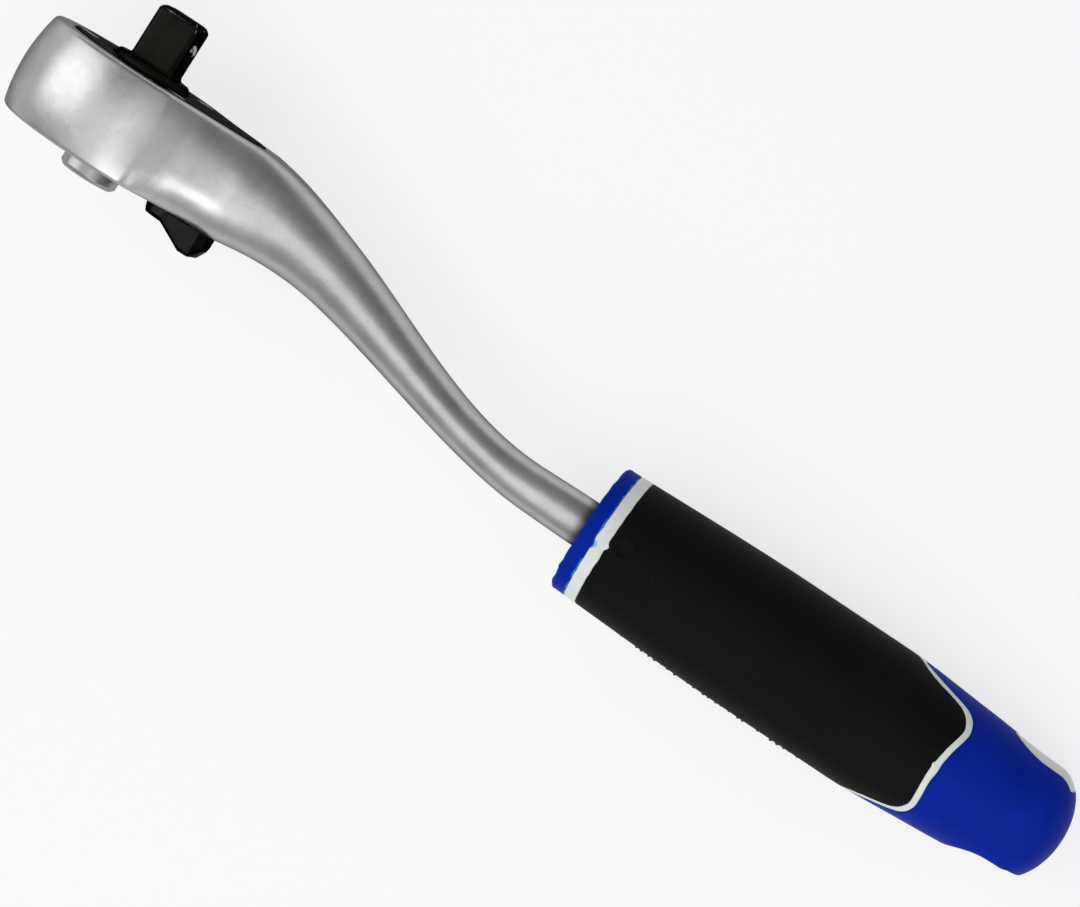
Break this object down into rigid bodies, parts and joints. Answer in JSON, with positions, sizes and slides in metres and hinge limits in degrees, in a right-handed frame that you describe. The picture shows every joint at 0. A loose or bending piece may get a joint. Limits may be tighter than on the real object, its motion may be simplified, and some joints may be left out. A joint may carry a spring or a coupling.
{
  "type": "offset ratchet",
  "caption": "Offset ratchet with a square drive, pear-shaped head, reversing lever, quick-release button, S-bent forged arm and a moulded handle.",
  "frame": {"origin": "centre of the square drive's end face", "axes": "+Y out of the square drive along its turning axis, +X along the handle from the head to the butt, +Z sideways, up when the tool lies on its side"},
  "size_m": [0.1702, 0.0367, 0.0304],
  "materials": {
    "satin_chrome": "satin",
    "black_oxide": "black oxide",
    "bright_steel": "polished",
    "hard_steel": "ground",
    "spring_steel": "drawn",
    "black_casting": "semi-gloss",
    "blue_plastic": "semi-gloss",
    "white_plastic": "semi-gloss",
    "black_rubber": "soft matte"
  },
  "bodies": {
    "head": {"forged_body": "satin_chrome", "cover_plate": "black_oxide", "cover_screw_nose": "hard_steel", "cover_screw_left": "hard_steel", "cover_screw_right": "hard_steel", "thrust_washer": "hard_steel", "pawl_pin": "hard_steel", "front_collar": "blue_plastic", "handle_core": "white_plastic", "grip_sleeve": "black_rubber", "end_cap": "blue_plastic"},
    "drive": {"drive_gear": "black_oxide", "button_ring": "spring_steel", "button_spring": "spring_steel"},
    "ball": {"detent_ball": "bright_steel"},
    "button": {"release_button": "bright_steel"},
    "lever": {"lever": "black_casting", "lever_ring": "spring_steel", "lever_plunger": "hard_steel", "plunger_spring": "spring_steel"},
    "pawl": {"pawl": "hard_steel"}
  },
  "joints": [
    {"name": "drive_spin", "type": "hinge", "parent": "head", "child": "drive", "pos_m": [0, -0.0158, 0], "axis": [0, 1, 0], "continuous": true},
    {"name": "button_press", "type": "slide", "parent": "drive", "child": "button", "axis": [0, 1, 0], "range_m": [0, 0.0015], "stiffness_N_per_m": 1500, "deforming": ["button_spring"]},
    {"name": "ball_retract", "type": "slide", "parent": "drive", "child": "ball", "axis": [-1, 0, 0], "range_m": [0, 0.00042]},
    {"name": "lever_flip", "type": "hinge", "parent": "head", "child": "lever", "pos_m": [0.0131, -0.0158, 0], "axis": [0, 1, 0], "range_deg": [-25, 25]},
    {"name": "pawl_rock", "type": "hinge", "parent": "head", "child": "pawl", "pos_m": [0.00953, -0.0158, 0], "axis": [0, 1, 0], "range_deg": [-7.5, 7.5]}
  ],
  "couplings": [
    {"joint": "ball_retract", "follows": "button_press", "ratio": 0.28},
    {"joint": "pawl_rock", "follows": "lever_flip", "ratio": -0.3}
  ]
}
